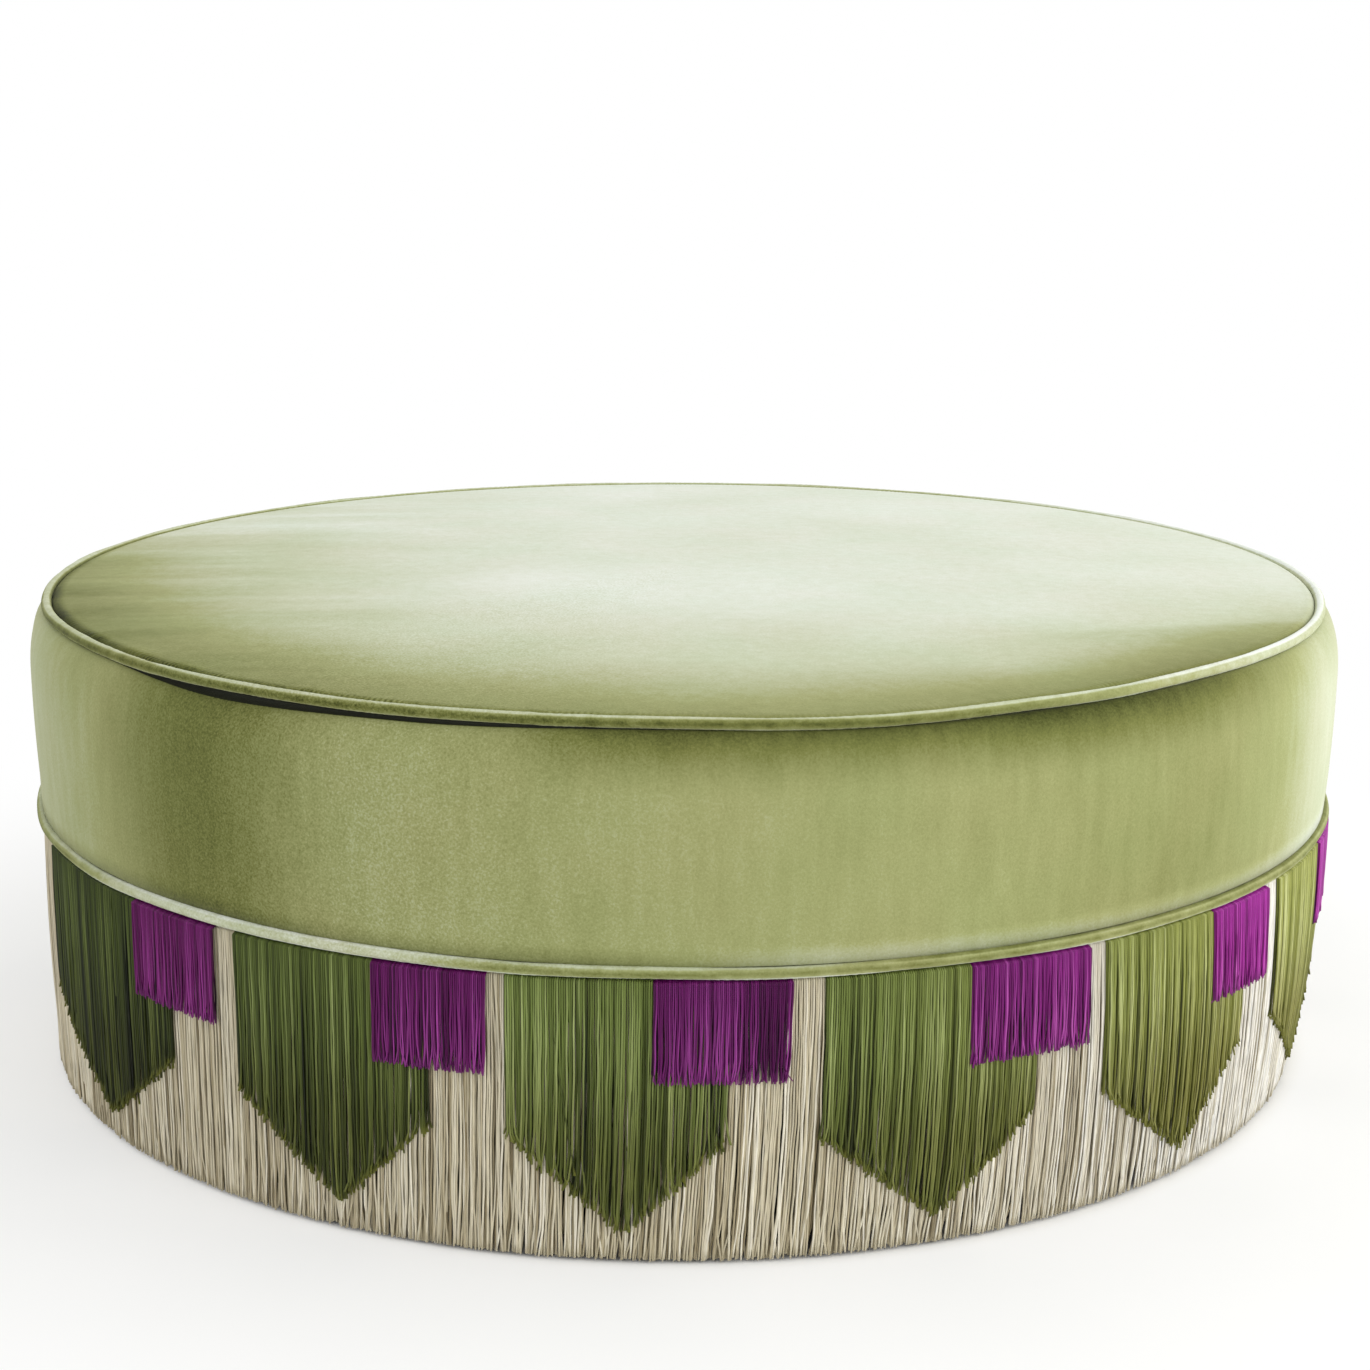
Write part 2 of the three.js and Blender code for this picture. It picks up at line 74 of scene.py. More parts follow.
# Plywood drum: an 18 mm seat deck, a middle ring that carries the hem and the fringe, a base ring,
# and two skins of 5 mm bending plywood glued and stapled round them. It stays as the model has it,
# in birch with its veneer grain on the faces and its plies on the edges.
def paint(tone):
    """A colour written as a six-digit tone, as the shader takes it."""
    parts = [int(tone[i : i + 2], 16) / 255 for i in (0, 2, 4)]
    light = [p / 12.92 if p <= 0.04045 else ((p + 0.055) / 1.055) ** 2.4 for p in parts]
    return (*light, 1.0)


def new_finish(name, **sockets):
    """A fresh material with its shader's own numbers set."""
    made = bpy.data.materials.new(name)
    made.use_nodes = True
    shader = made.node_tree.nodes["Principled BSDF"]
    for socket, value in sockets.items():
        shader.inputs[socket.replace("_", " ")].default_value = value
    return made


def step(finish, kind, feeds=None, output=0, **settings):
    """One step of a finish, fed by other steps' outputs or by numbers."""
    made = finish.node_tree.nodes.new("ShaderNode" + kind)
    for key, value in settings.items():
        setattr(made, key, value)
    for socket, feed in (feeds or {}).items():
        if isinstance(feed, bpy.types.NodeSocket):
            finish.node_tree.links.new(feed, made.inputs[socket])
        else:
            made.inputs[socket].default_value = feed
    return made.outputs[output]


def reckon(finish, kind, first, second=0.0, third=0.0):
    """Arithmetic on one, two or three numbers."""
    return step(finish, "Math", {0: first, 1: second, 2: third}, operation=kind)


def place(finish):
    """Where a point lies on the object, in metres."""
    return step(finish, "TexCoord", output="Object")


def stretched(finish, scale):
    """The same place, with each direction drawn out or pressed together."""
    return step(finish, "Mapping", {"Vector": place(finish), "Scale": scale})


def cloud(finish, at, scale, detail=3.0, rough=0.55):
    """Soft uneven patches from 0 to 1."""
    feeds = {"Vector": at, "Scale": scale, "Detail": detail, "Roughness": rough}
    return step(finish, "TexNoise", feeds)


def streaks(finish, scale, detail, rough):
    """The same patches, drawn out or pressed together in each direction."""
    return cloud(finish, stretched(finish, scale), 1.0, detail, rough)


def spread(finish, value, low, high, to_low=0.0, to_high=1.0, kind="LINEAR"):
    """A number's range brought to another range."""
    feeds = {"Value": value, 1: low, 2: high, 3: to_low, 4: to_high}
    return step(finish, "MapRange", feeds, interpolation_type=kind)


def ramp(finish, value, stops):
    """A run of colours, each as its place from 0 to 1 and its tone."""
    made = finish.node_tree.nodes.new("ShaderNodeValToRGB")
    finish.node_tree.links.new(value, made.inputs[0])
    runs = made.color_ramp.elements
    while len(runs) < len(stops):
        runs.new(0.5)
    for run, (at, tone) in zip(runs, stops):
        run.position = at
        run.color = paint(tone)
    return made.outputs[0]


def blended(finish, share, first, second, kind="MIX"):
    """Two colours mixed by a share."""
    feeds = {0: share, 6: first, 7: second}
    return step(finish, "Mix", feeds, 2, data_type="RGBA", blend_type=kind)


def complete(finish, colour, rough=None, relief=None, height=0.0):
    """Feeds the shader with its colour, and its roughness and relief where they vary."""
    shader = finish.node_tree.nodes["Principled BSDF"]
    finish.node_tree.links.new(colour, shader.inputs["Base Color"])
    if rough is not None:
        finish.node_tree.links.new(rough, shader.inputs["Roughness"])
    if relief is not None:
        bump = step(finish, "Bump", {"Height": relief, "Distance": height, "Strength": 1.0})
        finish.node_tree.links.new(bump, shader.inputs["Normal"])
    return finish


ply_thickness = 18 * MM
wave_in_sheet = 13  # radians of the ply lines' wave through a sheet
wave_in_unit = 20  # radians of a wave texture in one unit, at scale 1

birch = new_finish("birch_plywood", Specular_IOR_Level=0.4)
face_grain = streaks(birch, (6, 90, 90), 6.0, 0.65)
face = ramp(birch, face_grain, [(0.3, "a98452"), (0.5, "cbab78"), (0.72, "dcc296")])
ply_scale = wave_in_sheet / ply_thickness / wave_in_unit
ply_wave = {"Vector": place(birch), "Scale": ply_scale, "Distortion": 0.6, "Detail": 2.0}
ply_lines = step(birch, "TexWave", ply_wave, bands_direction="Z")
edge = ramp(birch, ply_lines, [(0.2, "8a6238"), (0.55, "c9a66f"), (0.9, "d8bd8c")])
facing = step(birch, "NewGeometry", output="Normal")
flat_share = reckon(birch, "ABSOLUTE", step(birch, "SeparateXYZ", {0: facing}, "Z"))
complete(
    birch,
    blended(birch, flat_share, edge, face),
    spread(birch, face_grain, 0.3, 0.7, 0.55, 0.8),
    face_grain,
    0.4 * MM,
)

bending_ply = new_finish("bending_plywood", Specular_IOR_Level=0.4)
skin_grain = streaks(bending_ply, (120, 120, 7), 6.0, 0.6)
complete(
    bending_ply,
    ramp(bending_ply, skin_grain, [(0.3, "b08d5e"), (0.55, "d2b384"), (0.75, "e0c8a0")]),
    spread(bending_ply, skin_grain, 0.3, 0.7, 0.6, 0.85),
    skin_grain,
    0.5 * MM,
)


def keep(node, finish):
    """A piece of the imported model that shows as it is, in a better material."""
    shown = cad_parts[node]
    shown.data.materials.clear()
    shown.data.materials.append(finish)


for node in ("seat_deck", "middle_ring", "base_ring"):
    keep(node, birch)
for node in ("side_board", "plinth_board"):
    keep(node, bending_ply)


# Pine frame: eight planed posts screwed between the rings and the deck, and two rails half-lapped
# under the deck on four of them. They stay as the model has them, in pale pine, the grain running
# along each piece.
fibre_scale, fibre_scale_along = 160.0, 5.0
fibres_in_ring = 20


def pine(name, along):
    """Planed pine whose grain runs along the piece's given axis."""
    finish = new_finish(name, Specular_IOR_Level=0.4)
    scale = [fibre_scale] * 3
    scale[along] = fibre_scale_along
    wide = stretched(finish, [s / fibres_in_ring for s in scale])
    ring_wave = {"Vector": wide, "Scale": 3.0, "Distortion": 5.0}
    rings = step(finish, "TexWave", ring_wave, bands_direction="DIAGONAL")
    fibre = streaks(finish, scale, 5.0, 0.6)
    grain = reckon(finish, "MULTIPLY_ADD", rings, 0.45, reckon(finish, "MULTIPLY", fibre, 0.55))
    complete(
        finish,
        ramp(finish, grain, [(0.2, "b98f58"), (0.5, "d9b988"), (0.8, "ecd6ae")]),
        spread(finish, fibre, 0.3, 0.7, 0.5, 0.75),
        fibre,
        0.5 * MM,
    )
    return finish


post_pine = pine("pine_post", 2)
for number in range(1, 9):
    keep(f"post_{number}", post_pine)
keep("bearer_1", pine("pine_rail_across", 0))
keep("bearer_2", pine("pine_rail_front_to_back", 1))


# Glides: eight domed feet of black nylon, each moulded on a steel nail that is driven up into the
# base ring. They stay as the model has them, with the fine grain and scuffs of moulded plastic.
nylon = new_finish("black_nylon", Roughness=0.42, Specular_IOR_Level=0.5)
moulded = cloud(nylon, place(nylon), 1800.0, 3.0, 0.6)
scuffs = streaks(nylon, (300, 60, 200), 5.0, 0.7)
complete(
    nylon,
    ramp(nylon, scuffs, [(0.35, "121213"), (0.6, "1e1e20"), (0.8, "38383a")]),
    spread(nylon, scuffs, 0.35, 0.75, 0.35, 0.62),
    moulded,
    0.08 * MM,
)
for number in range(1, 9):
    keep(f"glide_{number}", nylon)


# Plinth cloth: one strip of black cotton wrapped round the lower skin and turned in under the base
# ring, with a dust cover of the same cloth inside its hem, both stapled. The strip is as long as the
# drum is round, and it is what shows dark between the strands of the fringe at the floor.
def mesh_of(name, points, faces, smooth=True):
    """A mesh object from its points and its faces of three, four or more corners each."""
    made = bpy.data.meshes.new(name)
    faces = [np.asarray(group, int) for group in faces]
    sides = np.concatenate([np.full(len(group), group.shape[1]) for group in faces])
    corners = np.concatenate([group.ravel() for group in faces])
    made.vertices.add(len(points))
    made.vertices.foreach_set("co", np.asarray(points, np.float32).ravel())
    made.loops.add(len(corners))
    made.loops.foreach_set("vertex_index", corners.astype(np.int32))
    made.polygons.add(len(sides))
    starts = np.concatenate([[0], np.cumsum(sides)[:-1]]).astype(np.int32)
    made.polygons.foreach_set("loop_start", starts)
    made.polygons.foreach_set("use_smooth", np.full(len(sides), smooth))
    made.update(calc_edges=True)
    made.validate()
    piece = bpy.data.objects.new(name, made)
    bpy.context.scene.collection.objects.link(piece)
    return piece


def turn(name, outline, around, ease=None):
    """A piece turned from its closed outline of (radius, height) points, anticlockwise from the axis
    or from anywhere where it doesn't reach the axis. ease moves its points: it takes their angles
    from the front, radii and heights, and gives back the radii and heights."""
    outline = np.array(outline, float)
    on_axis = outline[0, 0] == 0
    count = len(outline)
    angle = np.arange(around)[:, None] / around * math.tau
    radius = np.repeat(outline[None, :, 0], around, 0)
    height = np.repeat(outline[None, :, 1], around, 0)
    if ease:
        radius, height = ease(angle, radius, height)
    points = np.stack([radius * np.sin(angle), -radius * np.cos(angle), height], -1)
    index = np.arange(around * count).reshape(around, count)
    if on_axis:
        points[:, [0, -1], 0:2] = 0
        points[:, 0, 2] = points[:, 0, 2].mean()
        points[:, -1, 2] = points[:, -1, 2].mean()
        index[:, 0] = 0
        index[:, -1] = count - 1
    after = np.roll(index, -1, 0)
    above = np.roll(index, -1, 1)
    above_after = np.roll(after, -1, 1)
    walls = np.stack([index, after, above_after, above], -1)
    points = points.reshape(-1, 3)
    if not on_axis:
        return mesh_of(name, points, [walls.reshape(-1, 4)])
    used = np.unique(index)
    groups = (walls[:, 1:-2].reshape(-1, 4), walls[:, 0][:, [0, 2, 3]], walls[:, -2, :3])
    return mesh_of(name, points[used], [np.searchsorted(used, group) for group in groups])


def arc(centre_radius, centre_height, wide, tall, start, end, count):
    """Points of an outline along part of an ellipse, its angles in quarter turns from outwards."""
    turns = np.linspace(start, end, count) * math.pi / 2
    return [(centre_radius + wide * math.cos(a), centre_height + tall * math.sin(a)) for a in turns]


def waver(angle, lowest, highest, luck):
    """An even, seeded unevenness round the seat, with this many swells in a turn."""
    draw = np.random.default_rng(luck)
    swells = np.arange(lowest, highest + 1)
    size = draw.normal(size=len(swells)) / np.sqrt(len(swells) / 2)
    phase = draw.uniform(0, math.tau, len(swells))
    flat = np.ravel(angle)
    summed = (np.sin(flat[:, None] * swells + phase) * size).sum(1)
    return summed.reshape(np.shape(angle))


def set_piece(piece, finish, node):
    """A piece in its finish, on the seat, in place of the model's."""
    piece.data.materials.append(finish)
    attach(piece, "root")
    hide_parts(node)


cotton = new_finish(
    "black_cotton", Roughness=0.95, Specular_IOR_Level=0.2, Sheen_Weight=0.15, Sheen_Roughness=0.5
)
warp = step(cotton, "TexWave", {"Vector": place(cotton), "Scale": 60.0}, bands_direction="Z")
slub = streaks(cotton, (900, 900, 260), 4.0, 0.7)
complete(
    cotton,
    ramp(cotton, slub, [(0.3, "0c0c0e"), (0.6, "18181a"), (0.85, "2a2a2d")]),
    relief=reckon(cotton, "MULTIPLY_ADD", warp, 0.5, slub),
    height=0.25 * MM,
)

plinth_low, plinth_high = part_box("plinth_cover")
cloth_thickness = 1.2 * MM
cloth_outside = plinth_high.x
cloth_foot = plinth_low.z
cloth_top = plinth_high.z
cloth_turn_in = 16 * MM
cloth_fold = 3 * MM
cloth_steps = 448


def plinth_strip(outside, foot, turn_in_at):
    """The strip's wall, its rounded fold and its turn-in, from the top down."""
    fold = arc(outside - cloth_fold, foot + cloth_fold, cloth_fold, cloth_fold, 0, -1, 7)
    return [(outside, cloth_top), *fold, (turn_in_at, foot)]


turned_to = cloth_outside - cloth_turn_in
outer = plinth_strip(cloth_outside, cloth_foot, turned_to)
inner = plinth_strip(cloth_outside - cloth_thickness, cloth_foot + cloth_thickness, turned_to)
plinth_cloth = turn("plinth_cloth", inner + outer[::-1], cloth_steps)
set_piece(plinth_cloth, cotton, "plinth_cover")

dust_low, dust_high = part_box("dust_cover")
dust_radius = dust_high.x
dust_slack = 0.3 * MM


def slackened(angle, radius, height):
    """The dust cover's faint waves, more towards its middle."""
    inwards = np.clip(1 - radius / dust_radius, 0, 1)
    return radius, height + dust_slack * inwards * waver(angle, 3, 9, 5)


dust_rings = np.linspace(0, dust_radius, 12)
dust_under = [(r, dust_low.z) for r in dust_rings]
dust_over = [(r, dust_low.z + cloth_thickness) for r in dust_rings[::-1]]
dust_cloth = turn("dust_cloth", dust_under + dust_over, 160, slackened)
set_piece(dust_cloth, cotton, "dust_cover")


# Padding: an 80 mm foam disc on the deck, a firm foam wall glued round the drum, rebated for the hem
# welt's flange, and polyester wadding under the top. The covers hide all three.
foam = new_finish("foam", Roughness=0.95, Specular_IOR_Level=0.25)
cells = step(foam, "TexVoronoi", {"Vector": place(foam), "Scale": 700.0})
foam_patches = cloud(foam, place(foam), 14.0, 4.0, 0.6)
complete(
    foam,
    ramp(foam, foam_patches, [(0.3, "d9c98f"), (0.55, "e6d9a8"), (0.8, "efe5c1")]),
    relief=cells,
    height=0.5 * MM,
)

fleece = new_finish(
    "polyester_wadding", Roughness=1.0, Specular_IOR_Level=0.2, Sheen_Weight=0.4, Sheen_Roughness=0.6
)
tufts = cloud(fleece, place(fleece), 60.0, 6.0, 0.7)
complete(
    fleece,
    ramp(fleece, tufts, [(0.3, "dcdad2"), (0.6, "f2f1ec"), (0.8, "fbfaf7")]),
    relief=tufts,
    height=2.0 * MM,
)

foam_low, foam_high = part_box("seat_foam")
foam_edge = 6 * MM
pad_steps = 224
edge_centre = foam_high.x - foam_edge
seat_pad_outline = [
    (0, foam_low.z),
    (foam_high.x * 0.5, foam_low.z),
    *arc(edge_centre, foam_low.z + foam_edge, foam_edge, foam_edge, -1, 0, 6),
    *arc(edge_centre, foam_high.z - foam_edge, foam_edge, foam_edge, 0, 1, 6),
    (foam_high.x * 0.5, foam_high.z),
    (0, foam_high.z),
]
seat_pad = turn("seat_foam_disc", seat_pad_outline, pad_steps)
set_piece(seat_pad, foam, "seat_foam")

seat_radius = 550 * MM
top_welt_radius = 533.5 * MM
top_welt_height = 385 * MM
hem_welt_radius = 545.7 * MM
hem_welt_height = 215.5 * MM
welt_size = 4.2 * MM
band_full_height = 335 * MM
band_foot = 220 * MM
band_top = 380.5 * MM
hem_draw = 4.6 * MM
velvet_thickness = 2.4 * MM
ease_gap = 0.3 * MM
seam_inside = 519.3 * MM
flange_top = 228 * MM
velvet_steps = 2688


def band_line(inset, points_below=9, points_above=14):
    """The band's outline from its foot, out to its fullest and in under the top welt."""
    share = np.linspace(0, 1, points_below, endpoint=False)
    foot_radii = seat_radius - inset - hem_draw * (1 - share) ** 2
    foot_heights = band_foot + share * (band_full_height - band_foot)
    wide = seat_radius - top_welt_radius - inset
    tall = band_top - band_full_height - inset
    roll = arc(top_welt_radius, band_full_height, wide, tall, 0, 1, points_above)
    return [*zip(foot_radii, foot_heights), *roll]


def near(angle, centre, reach):
    """1 at an angle from the front, falling softly to 0 at its reach on both sides, in degrees."""
    off = np.abs((angle - math.radians(centre) + math.pi) % math.tau - math.pi)
    share = np.clip(1 - off / math.radians(reach), 0, 1)
    return share * share * (3 - 2 * share)


def rise(value, low, high):
    """Softly from 0 to 1 between two values."""
    share = np.clip((value - low) / (high - low), 0, 1)
    return share * share * (3 - 2 * share)


pucker_pitch = 6.5 * MM
puckers_round = int(math.tau * top_welt_radius / pucker_pitch)
pucker_depth = 0.42 * MM
padding_swell, padding_ripple = 0.5 * MM, 0.1 * MM
gap_inwards, gap_downwards = 1.5 * MM, 5.0 * MM
edge_lifts = [(46, 26, 1.9 * MM), (-58, 22, 1.3 * MM), (13, 15, -2.0 * MM)]


def edge_lift(angle):
    """How far the seat's top edge rides up at the sides and dips just right of the front, from the
    middle, reach and size of each lift."""
    return sum(most * near(angle, centre, reach) for centre, reach, most in edge_lifts)


def gathered(angle, radius, height):
    """Swells of the padding, the drawn-away top edge, and the puckers under the welt."""
    outer = rise(radius, 0.524, 0.529) * rise(height, band_foot, 0.245)
    full = waver(angle, 2, 11, 11) * padding_swell + waver(angle, 12, 40, 12) * padding_ripple
    radius = radius + outer * full * (1 - rise(height, 0.36, 0.378))
    close = rise(height, 0.352, 0.377) * rise(radius, 0.524, 0.529)
    uneven = 0.1 + 0.8 * np.clip(waver(angle, 5, 60, 13), 0, 1.5)
    strong = 0.12 + 0.8 * near(angle, 36, 28)
    phase = angle * puckers_round + 2.2 * waver(angle, 30, 90, 14)
    depth = pucker_depth * strong * uneven * (1 - 0.6 * rise(height, 0.376, band_top))
    radius = radius + close * depth * np.sin(phase)
    at_left = near(angle, -37, 17) + 0.6 * near(angle, -20, 17)
    drawn = at_left * rise(height, 0.345, 0.3775) * rise(radius, 0.520, 0.526)
    lift = edge_lift(angle) * rise(height, 0.33, 0.377)
    return radius - gap_inwards * drawn, height - gap_downwards * drawn + lift


side_low, side_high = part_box("side_foam")
drum_side = 520.2 * MM
rebate = 541.2 * MM
rebate_top = flange_top + ease_gap
rebate_lip = 1.5 * MM
under_velvet = velvet_thickness + ease_gap
side_pad_outline = [
    (drum_side, side_low.z),
    (rebate, side_low.z),
    (rebate, rebate_top),
    (rebate + rebate_lip, rebate_top),
    *[point for point in band_line(under_velvet, 7, 10) if point[1] > flange_top + 1 * MM],
    (drum_side, side_high.z),
]
side_pad = turn("side_foam_wall", side_pad_outline, velvet_steps, gathered)
set_piece(side_pad, foam, "side_foam")

seat_height = 395 * MM
crown_rise = 6.5 * MM
flat_radius = 150 * MM
crown_reach = 375.5 * MM


def crown(radius):
    """Height of the seat's face: level at the middle, falling late towards the edge."""
    share = np.clip((radius - flat_radius) / crown_reach, 0, None)
    return seat_height - crown_rise * share**2.5


wadding_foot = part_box("top_wadding")[0].z
wadding_rings = np.linspace(0, seam_inside - ease_gap, 14)
wadding_under = [(r, wadding_foot) for r in wadding_rings]
wadding_over = [(r, crown(r) - under_velvet) for r in wadding_rings[::-1]]
wadding = turn("seat_wadding", wadding_under + wadding_over, pad_steps)
set_piece(wadding, fleece, "top_wadding")


# Velvet band: one strip of cotton velvet sewn into a ring, pulled down over the padded side and
# stapled at its foot, its pile brushed downwards. It swells a little, and rolls in under the top
# welt, where it is gathered in small upright puckers and draws away from the welt at the left.
# The velvet's run of tones: its pile's own olive in the middle, a near-black end for painted shade and a
# near-white end for painted sheen and light.
pile_and_light_tones = [
    (0.0, "1a1b0a"),
    (0.1, "484b22"),
    (0.25, "6f713e"),
    (0.5, "9b9c6c"),
    (0.75, "c2c4ac"),
    (1.0, "e4e5e2"),
]


def angle_of(finish):
    """The angle round the seat from its front, to the right, in radians, and the place's parts."""
    at = place(finish)
    across, back, up = (step(finish, "SeparateXYZ", {0: at}, part) for part in "XYZ")
    return reckon(finish, "ARCTAN2", across, times(finish, back, -1.0)), across, back, up


def soft(finish, value, low, high, to_low=0.0, to_high=1.0):
    """A number's range brought to another range, easing in and out."""
    return spread(finish, value, low, high, to_low, to_high, "SMOOTHSTEP")


def patch(finish, value, centre, reach):
    """1 at the centre, falling softly to 0 at its reach on both sides."""
    off = reckon(finish, "ABSOLUTE", reckon(finish, "SUBTRACT", value, centre))
    return soft(finish, off, 0.0, reach, 1.0, 0.0)


def zone(finish, angle, centre, reach):
    """A patch round the seat, its centre and reach in degrees."""
    return patch(finish, angle, math.radians(centre), math.radians(reach))


def turning(finish, angle, start, end, *to):
    """A number that changes softly round the seat from one angle in degrees to another."""
    return soft(finish, angle, math.radians(start), math.radians(end), *to)


def total(finish, *parts):
    """The sum of any count of numbers."""
    so_far = parts[0]
    for part in parts[1:]:
        so_far = reckon(finish, "ADD", so_far, part)
    return so_far


def times(finish, *parts):
    """The product of any count of numbers."""
    so_far = parts[0]
    for part in parts[1:]:
        so_far = reckon(finish, "MULTIPLY", so_far, part)
    return so_far


def around_half(finish, value, amount):
    """A cloud's unevenness, both ways from nothing."""
    return times(finish, reckon(finish, "SUBTRACT", value, 0.5), amount)


def velvet(name, pile_and_painted_light, sheen):
    """Velvet toned by its pile and by the piece's painted light: 0 painted deep, 1 painted pale."""
    finish = new_finish(
        name,
        Roughness=0.9,
        Specular_IOR_Level=0.1,
        Sheen_Weight=sheen,
        Sheen_Roughness=0.35,
        Sheen_Tint=paint("f0f4dc"),
    )
    drift = cloud(finish, place(finish), 7.0, 4.0, 0.5)
    brushed = streaks(finish, (95, 95, 18), 3.0, 0.5)
    pile = cloud(finish, place(finish), 560.0, 4.0, 0.7)
    ruffled = zone(finish, angle_of(finish)[0], -26, 34)
    pile_with_painted_light = total(
        finish,
        pile_and_painted_light(finish),
        around_half(finish, drift, 0.15),
        around_half(finish, brushed, 0.12),
        times(finish, around_half(finish, pile, 1.0), spread(finish, ruffled, 0, 1, 0.26, 0.66)),
    )
    hue = cloud(finish, place(finish), 10.0, 3.0, 0.55)
    tint = ramp(finish, hue, [(0.35, "f6fcf4"), (0.65, "fbfdf8")])
    colour = blended(finish, 1.0, ramp(finish, pile_with_painted_light, pile_and_light_tones), tint, "MULTIPLY")
    return complete(finish, colour, spread(finish, pile, 0.3, 0.7, 0.8, 0.98), pile, 0.22 * MM)


def seen_share(finish, angle):
    """1 round the front and the sides, fading to 0 at the middle of the back."""
    return turning(finish, reckon(finish, "ABSOLUTE", angle), 110, 165, 1.0, 0.0)


def from_axis_of(finish):
    """How far a place is from the seat's upright axis."""
    level = stretched(finish, (1.0, 1.0, 0.0))
    return step(finish, "VectorMath", {0: level}, "Value", operation="LENGTH")


def band_painted_light(finish):
    """Painted shade in a soft upright zone at the left of the front and under the right half of the top
    welt, a painted black shadow in the gap where the band draws away, and painted sheen paling it
    towards both sides and along the hem's right, with painted shade above the hem at the left."""
    angle, _, _, up = angle_of(finish)
    dark_left = zone(finish, angle, -38.5, 16)
    dull_right = zone(finish, angle, 40, 26)
    pale_right = turning(finish, angle, 50, 68, 0.0, 0.24)
    pale_left = turning(finish, angle, -48, -72, 0.0, 0.14)
    under_welt = reckon(finish, "POWER", spread(finish, up, 0.336, 0.380), 1.5)
    to_right = turning(finish, angle, 24, 62, 0.36, 0.12)
    to_left = turning(finish, angle, -17, -2, 0.12, 1.0)
    gap = times(
        finish,
        spread(finish, from_axis_of(finish), 0.5350, 0.5315),
        spread(finish, up, 0.360, 0.367),
        zone(finish, angle, -31, 38),
    )
    beside_hem = soft(finish, up, 0.237, 0.223)
    pale_hem = turning(finish, angle, -5, 12, -0.06, 0.16)
    by_side = total(
        finish,
        times(finish, dark_left, -0.26),
        times(finish, dull_right, -0.10),
        pale_right,
        pale_left,
        times(finish, under_welt, to_right, to_left, -1.0),
        times(finish, gap, -2.2),
        times(finish, beside_hem, pale_hem),
    )
    return total(finish, 0.49, times(finish, by_side, seen_share(finish, angle)))


band_outline = [
    *band_line(0),
    (seam_inside, band_top),
    (seam_inside, band_top - velvet_thickness),
    *band_line(velvet_thickness, 5, 6)[::-1],
]
band = turn("velvet_band", band_outline, velvet_steps, gathered)
set_piece(band, velvet("band_velvet", band_painted_light, 0.22), "side_cover")


# Top cover: a round panel of the same velvet over the wadding, sewn to the welt with its edge turned
# down. Painted sheen and light pale it across the seat towards the back right, and small stitch
# puckers run round the edge.
cover_edge = 529 * MM
edge_wide, edge_tall = 6.0 * MM, 4.8 * MM
cover_foot = 382.3 * MM
stitch_pitch = 4.3 * MM
stitches_round = int(math.tau * cover_edge / stitch_pitch)
stitch_pucker, wadding_swell = 0.34 * MM, 0.35 * MM


def top_brushing_and_painted_light(finish):
    """Painted shade along the front edge, in a strip that ends in a sharp wedge at the right, painted
    sheen paling it inwards and to the back, slanting brush marks at the left, and painted shade in the
    crease at the welt."""
    angle, across, back, _ = angle_of(finish)
    from_axis = from_axis_of(finish)
    bend = streaks(finish, (5.0, 7.0, 1.0), 3.0, 0.5)
    inwards = reckon(finish, "SUBTRACT", cover_edge, from_axis)
    inwards = total(finish, inwards, around_half(finish, bend, 0.06))
    inwards = times(finish, inwards, spread(finish, across, 0.1, 0.42, 1.0, 1.9))
    slope = soft(finish, inwards, 0.0, 0.16, 0.0, 0.30)
    far_slope = soft(finish, inwards, 0.05, 0.5, 0.0, 0.28)
    along_edge = total(finish, 0.40, slope, far_slope)
    run = reckon(finish, "MULTIPLY_ADD", across, 0.35, back)
    in_front = soft(finish, run, 0.12, -0.20)
    inner = spread(finish, back, -0.3, 0.5, 0.84, 0.93)
    difference = reckon(finish, "SUBTRACT", along_edge, inner)
    at_left = soft(finish, across, -0.05, -0.42)
    slant = reckon(finish, "MULTIPLY_ADD", across, -0.33, back)
    wedge = soft(finish, slant, -0.358, -0.376, 0.0, -0.08)
    wedge = times(finish, wedge, soft(finish, across, 0.2, 0.36))
    aslant = {"Rotation": (0, 0, math.radians(-24)), "Scale": (4.0, 24.0, 1.0)}
    brushed = step(finish, "Mapping", {"Vector": place(finish), **aslant})
    strokes = cloud(finish, brushed, 1.0, 2.0, 0.5)
    stitch_turn = times(finish, angle, stitches_round)
    stitch_depth = spread(finish, cloud(finish, place(finish), 30.0), 0.45, 0.7, 0.0, 0.16)
    crease = total(finish, -0.22, times(finish, reckon(finish, "SINE", stitch_turn), stitch_depth))
    crease_share = spread(finish, zone(finish, angle, -62, 78), 0.0, 1.0, 0.2, 1.0)
    in_crease = soft(finish, from_axis, 0.5175, 0.5265)
    return total(
        finish,
        inner,
        times(finish, in_front, difference),
        times(finish, at_left, -0.05),
        wedge,
        times(finish, around_half(finish, strokes, 0.3), at_left),
        times(finish, crease, crease_share, in_crease),
    )


def stitched(angle, radius, height):
    """The padding's gentle unevenness, and the puckers that the seam's stitches draw."""
    face = rise(height, 0.3845, 0.3870)
    inside = 1 - rise(radius, 0.40, 0.525)
    swell = wadding_swell * waver(angle, 2, 6, 21) * rise(radius, 0.05, 0.3) * inside
    edge = rise(radius, 0.508, 0.5265)
    uneven = 0.35 + 0.65 * np.clip(waver(angle, 5, 60, 22), 0, 1.6)
    strong = 0.35 + 0.65 * near(angle, -38, 40) + 0.3 * near(angle, 20, 30)
    phase = angle * stitches_round + 2.0 * waver(angle, 30, 90, 23)
    pucker = stitch_pucker * strong * uneven * edge * np.sin(phase)
    lift = edge_lift(angle) * rise(radius, 0.40, 0.52)
    return radius, height + face * (swell + pucker) + lift


